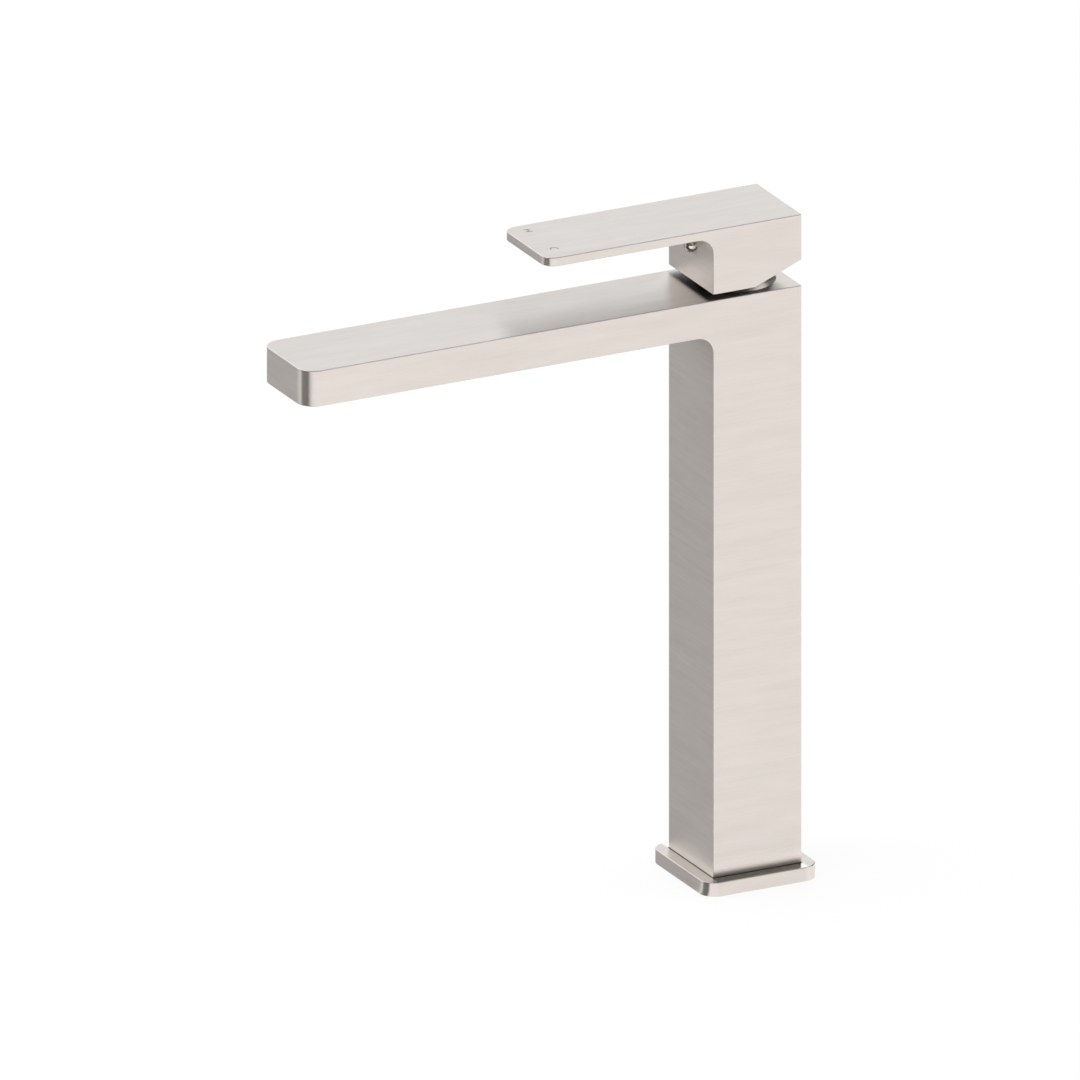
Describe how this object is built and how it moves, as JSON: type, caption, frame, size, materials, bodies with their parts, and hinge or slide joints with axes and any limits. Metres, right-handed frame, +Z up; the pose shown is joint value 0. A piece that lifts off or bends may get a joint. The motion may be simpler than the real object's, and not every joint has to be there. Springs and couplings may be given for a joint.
{
  "type": "basin mixer tap",
  "caption": "Tall single-lever basin mixer: square column, long flat bar spout, flat lever on a square block, and a ceramic-disc cartridge inside.",
  "frame": {"origin": "the column's axis at the deck, on the underside of the base plate", "axes": "+Z up along the column; the spout and the lever point to -Y; the hot side is -X"},
  "size_m": [0.054, 0.2424, 0.3002],
  "materials": {
    "brushed_nickel": "fine brushed satin nickel",
    "polished_nickel": "polished",
    "black_rubber": "smooth",
    "raw_brass": "machined",
    "white_plastic": "moulded",
    "grey_plastic": "moulded",
    "white_ceramic": "lapped ceramic",
    "plain_steel": "plain"
  },
  "bodies": {
    "faucet_body": {"spout_body": "brushed_nickel", "base_plate": "brushed_nickel", "deck_gasket": "black_rubber", "foot_insert": "raw_brass", "hot_riser": "raw_brass", "cold_riser": "raw_brass", "riser_seals": "black_rubber", "valve_seat": "raw_brass", "spout_tube": "white_plastic", "spout_tube_seals": "black_rubber", "aerator_holder": "raw_brass", "aerator_housing": "polished_nickel", "aerator_grid": "grey_plastic", "aerator_washer": "black_rubber", "cartridge_housing": "white_plastic", "cartridge_nut": "raw_brass", "base_seal": "black_rubber", "cartridge_base": "grey_plastic", "disc_seal": "black_rubber", "fixed_disc": "white_ceramic", "dome_ring": "polished_nickel"},
    "swivel": {"swivel": "grey_plastic", "pivot_pin": "plain_steel"},
    "disc": {"moving_disc": "white_ceramic", "disc_carrier": "grey_plastic"},
    "lever": {"handle": "brushed_nickel", "spindle": "plain_steel", "grub_screw": "plain_steel", "screw_cap": "polished_nickel"}
  },
  "joints": [
    {"name": "temperature_turn", "type": "hinge", "parent": "faucet_body", "child": "swivel", "pos_m": [0, 0, 0.258], "axis": [0, 0, 1], "range_deg": [-45, 45]},
    {"name": "lever_lift", "type": "hinge", "parent": "swivel", "child": "lever", "pos_m": [0, 0, 0.258], "axis": [-1, 0, 0], "range_deg": [0, 22]},
    {"name": "disc_slide", "type": "slide", "parent": "swivel", "child": "disc", "axis": [0, -1, 0], "range_m": [0, 0.0039]}
  ],
  "couplings": [
    {"joint": "disc_slide", "follows": "lever_lift", "m_per_rad": 0.01}
  ]
}
